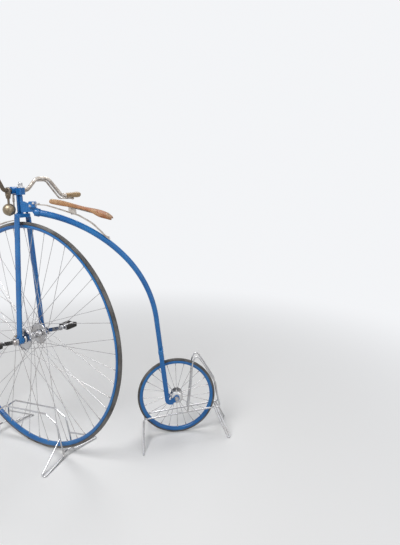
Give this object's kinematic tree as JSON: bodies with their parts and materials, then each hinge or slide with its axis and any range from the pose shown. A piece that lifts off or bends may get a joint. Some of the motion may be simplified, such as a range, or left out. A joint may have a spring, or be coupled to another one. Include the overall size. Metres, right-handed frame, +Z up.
{
  "type": "penny farthing bicycle",
  "caption": "High-wheel bicycle with a tall steered front wheel, a small rear wheel, a curved backbone, a sprung saddle and wire floor stands.",
  "frame": {"origin": "on the floor under the front axle, where the front tyre rests", "axes": "+Z up, -X the way the bicycle rides, -Y the rider's left"},
  "size_m": [1.6442, 0.7546, 1.5465],
  "materials": {
    "blue_paint": "gloss",
    "tyre_rubber": "worn",
    "spoke_steel": "satin",
    "dull_nickel": "dull",
    "bright_plate": "bright",
    "pale_plate": "satin",
    "black_rubber": "matte",
    "aged_brass": "aged",
    "turned_wood": "varnished",
    "tan_leather": "worn"
  },
  "bodies": {
    "frame": {"backbone": "blue_paint", "neck": "blue_paint", "rear_fork_crown": "blue_paint", "rear_fork_left": "blue_paint", "rear_fork_right": "blue_paint", "rear_axle": "pale_plate", "saddle_spring": "dull_nickel", "saddle_frame": "dull_nickel", "saddle": "tan_leather", "rear_stand_left": "bright_plate", "rear_stand_right": "bright_plate", "rear_stand_leg_left": "bright_plate", "rear_stand_leg_right": "bright_plate", "rear_stand_ties": "bright_plate"},
    "steering": {"steering_head": "blue_paint", "head_adjuster": "bright_plate", "fork_blade_left": "blue_paint", "fork_blade_right": "blue_paint", "front_bearing_left": "blue_paint", "front_bearing_right": "blue_paint", "handlebar_left": "dull_nickel", "handlebar_right": "dull_nickel", "grip_left": "turned_wood", "grip_right": "turned_wood", "brake_lever": "dull_nickel", "brake_spoon": "dull_nickel", "bell_clamp": "aged_brass", "globe_bell": "aged_brass", "front_stand_left": "bright_plate", "front_stand_right": "bright_plate", "front_stand_ties": "bright_plate"},
    "front_wheel": {"front_tyre": "tyre_rubber", "front_rim": "blue_paint", "front_spokes": "spoke_steel", "front_hub": "pale_plate", "crank_left": "pale_plate", "crank_right": "pale_plate"},
    "pedal_left": {"pedal_frame_left": "pale_plate", "pedal_treads_left": "black_rubber"},
    "pedal_right": {"pedal_frame_right": "pale_plate", "pedal_treads_right": "black_rubber"},
    "rear_wheel": {"rear_tyre": "tyre_rubber", "rear_rim": "blue_paint", "rear_spokes": "spoke_steel", "rear_hub": "pale_plate"}
  },
  "joints": [
    {"name": "steering_turn", "type": "hinge", "parent": "frame", "child": "steering", "pos_m": [0, 0, 0.65], "axis": [0, 0, 1], "range_deg": [-15, 85]},
    {"name": "front_wheel_spin", "type": "hinge", "parent": "steering", "child": "front_wheel", "pos_m": [0, 0, 0.65], "axis": [0.5736, 0.8192, 0], "continuous": true},
    {"name": "pedal_left_spin", "type": "hinge", "parent": "front_wheel", "child": "pedal_left", "pos_m": [-0.19119, -0.05412, 0.61635], "axis": [0.5736, 0.8192, 0], "continuous": true},
    {"name": "pedal_right_spin", "type": "hinge", "parent": "front_wheel", "child": "pedal_right", "pos_m": [0.19119, 0.05412, 0.68365], "axis": [0.5736, 0.8192, 0], "continuous": true},
    {"name": "rear_wheel_spin", "type": "hinge", "parent": "frame", "child": "rear_wheel", "pos_m": [0.806, 0, 0.23], "axis": [0, 1, 0], "continuous": true}
  ]
}
